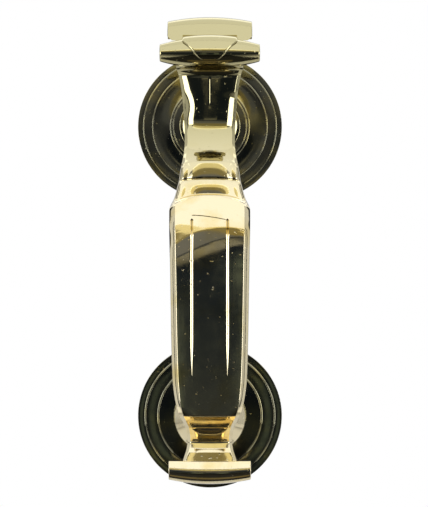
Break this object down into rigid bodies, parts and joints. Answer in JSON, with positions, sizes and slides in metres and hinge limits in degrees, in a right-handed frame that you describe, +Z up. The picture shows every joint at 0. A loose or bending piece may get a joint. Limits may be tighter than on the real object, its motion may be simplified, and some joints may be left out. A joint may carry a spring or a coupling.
{
  "type": "door knocker",
  "caption": "Swinging brass door knocker: a panelled handle hung from a scrolled bracket on a turned rose, striking an anvil on a second rose, bolted through the door.",
  "frame": {"origin": "centre of the top rose, on the door's face, which the back of both roses rests on", "axes": "+Z up the door, -Y out of the door towards the visitor, +X to the visitor's right"},
  "size_m": [0.064, 0.1172, 0.206],
  "materials": {
    "cast_brass": "mirror-polished casting",
    "rose_brass": "polished turning",
    "turned_brass": "polished turning",
    "nut_brass": "machined, satin",
    "washer_bronze": "satin bronze",
    "stud_steel": "zinc-plated thread",
    "pin_steel": "ground stainless steel",
    "screw_steel": "black oxide"
  },
  "bodies": {
    "mounting": {"top_rose": "rose_brass", "hinge_bracket": "cast_brass", "top_rose_nut": "nut_brass", "bottom_rose": "rose_brass", "anvil": "turned_brass", "bottom_rose_nut": "nut_brass", "top_fixing_stud": "stud_steel", "bottom_fixing_stud": "stud_steel", "top_door_washer": "nut_brass", "bottom_door_washer": "nut_brass", "top_dome_nut": "nut_brass", "bottom_dome_nut": "nut_brass", "locating_pins": "pin_steel", "hinge_washers": "washer_bronze"},
    "knocker": {"handle": "cast_brass", "striker_button": "turned_brass", "hinge_pin": "pin_steel", "pin_plugs": "turned_brass", "pin_set_screws": "screw_steel"}
  },
  "joints": [
    {"name": "handle_swing", "type": "hinge", "parent": "mounting", "child": "knocker", "pos_m": [0, -0.045, 0.0288], "axis": [-1, 0, 0], "range_deg": [0, 60]}
  ]
}
